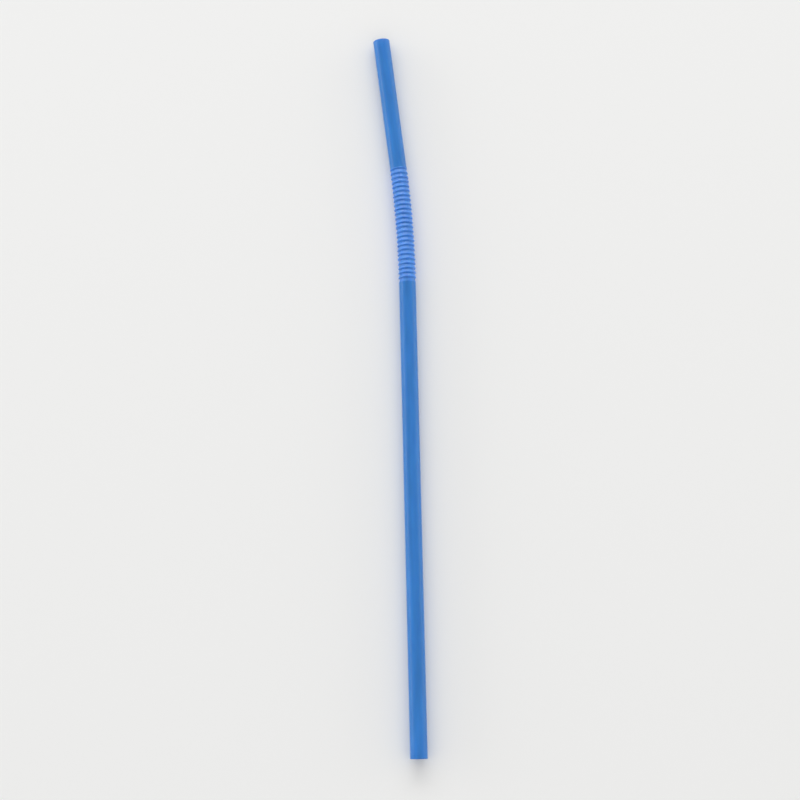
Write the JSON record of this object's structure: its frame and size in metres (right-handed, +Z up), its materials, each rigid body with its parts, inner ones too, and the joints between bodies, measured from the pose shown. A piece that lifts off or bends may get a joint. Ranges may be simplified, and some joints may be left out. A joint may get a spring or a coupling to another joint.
{
  "type": "flexible drinking straw",
  "caption": "Thin plastic drinking tube with a pleated section near its top that lets the short mouthpiece lean over.",
  "frame": {"origin": "centre of the straw's box on the floor it lies on", "axes": "+Y up the long plain tube towards the mouthpiece, +Z up off the floor, the mouthpiece leans to -X"},
  "size_m": [0.0136, 0.26, 0.0064],
  "materials": {
    "straw": "satin blue polypropylene, slightly see-through in thin light"
  },
  "bodies": {
    "root": {"straw": "straw"}
  },
  "joints": []
}
